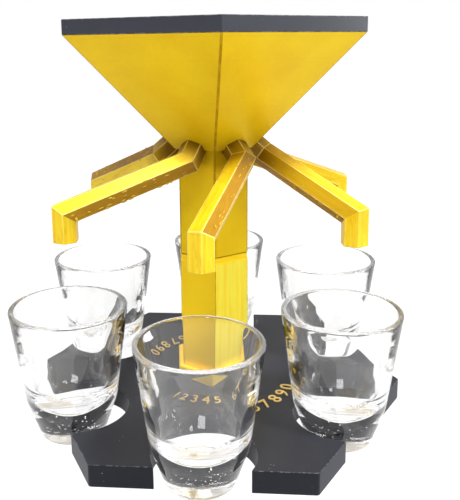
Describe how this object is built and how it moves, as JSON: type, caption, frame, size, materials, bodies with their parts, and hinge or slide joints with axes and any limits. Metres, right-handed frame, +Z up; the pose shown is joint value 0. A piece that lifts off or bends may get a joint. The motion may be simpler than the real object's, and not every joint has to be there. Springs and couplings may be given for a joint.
{
  "type": "party shot dispenser",
  "caption": "Hexagonal hopper on a post that shares a poured drink out through bent spouts into shot glasses standing in the notches of a base plate.",
  "frame": {"origin": "centre of the base plate's underside, on the table", "axes": "+Z up along the post; -Y towards the front glass, +X to the right; +Y is the longest extent, across the front and back glasses"},
  "size_m": [0.1668, 0.1788, 0.1686],
  "materials": {
    "gold_print": "silk gold printed plastic with fine layer lines",
    "black_print": "matt black printed plastic",
    "clear_glass": "clear pressed glass"
  },
  "bodies": {
    "base": {"base_plate": "black_print", "numbers_1": "gold_print", "numbers_2": "gold_print", "numbers_3": "gold_print", "numbers_4": "gold_print", "foot_collar": "gold_print"},
    "post": {"post": "gold_print"},
    "head": {"hopper": "gold_print", "rim_band": "black_print", "spout_1": "gold_print", "spout_2": "gold_print", "spout_3": "gold_print", "spout_4": "gold_print", "spout_5": "gold_print", "spout_6": "gold_print"},
    "glass_1": {"glass_1": "clear_glass"},
    "glass_2": {"glass_2": "clear_glass"},
    "glass_3": {"glass_3": "clear_glass"},
    "glass_4": {"glass_4": "clear_glass"},
    "glass_5": {"glass_5": "clear_glass"},
    "glass_6": {"glass_6": "clear_glass"}
  },
  "joints": [
    {"name": "post_lift", "type": "slide", "parent": "base", "child": "post", "axis": [0, 0, 1], "range_m": [0, 0.03]},
    {"name": "head_lift", "type": "slide", "parent": "post", "child": "head", "axis": [0, 0, 1], "range_m": [0, 0.03]},
    {"name": "glass_1_out", "type": "slide", "parent": "base", "child": "glass_1", "axis": [0.1627, -0.9867, 0], "range_m": [0, 0.045]},
    {"name": "glass_2_out", "type": "slide", "parent": "base", "child": "glass_2", "axis": [0.9417, -0.3365, 0], "range_m": [0, 0.045]},
    {"name": "glass_3_out", "type": "slide", "parent": "base", "child": "glass_3", "axis": [0.9616, 0.2744, 0], "range_m": [0, 0.045]},
    {"name": "glass_4_out", "type": "slide", "parent": "base", "child": "glass_4", "axis": [0.1338, 0.991, 0], "range_m": [0, 0.045]},
    {"name": "glass_5_out", "type": "slide", "parent": "base", "child": "glass_5", "axis": [-0.8127, 0.5826, 0], "range_m": [0, 0.045]},
    {"name": "glass_6_out", "type": "slide", "parent": "base", "child": "glass_6", "axis": [-0.9289, -0.3704, 0], "range_m": [0, 0.045]}
  ]
}
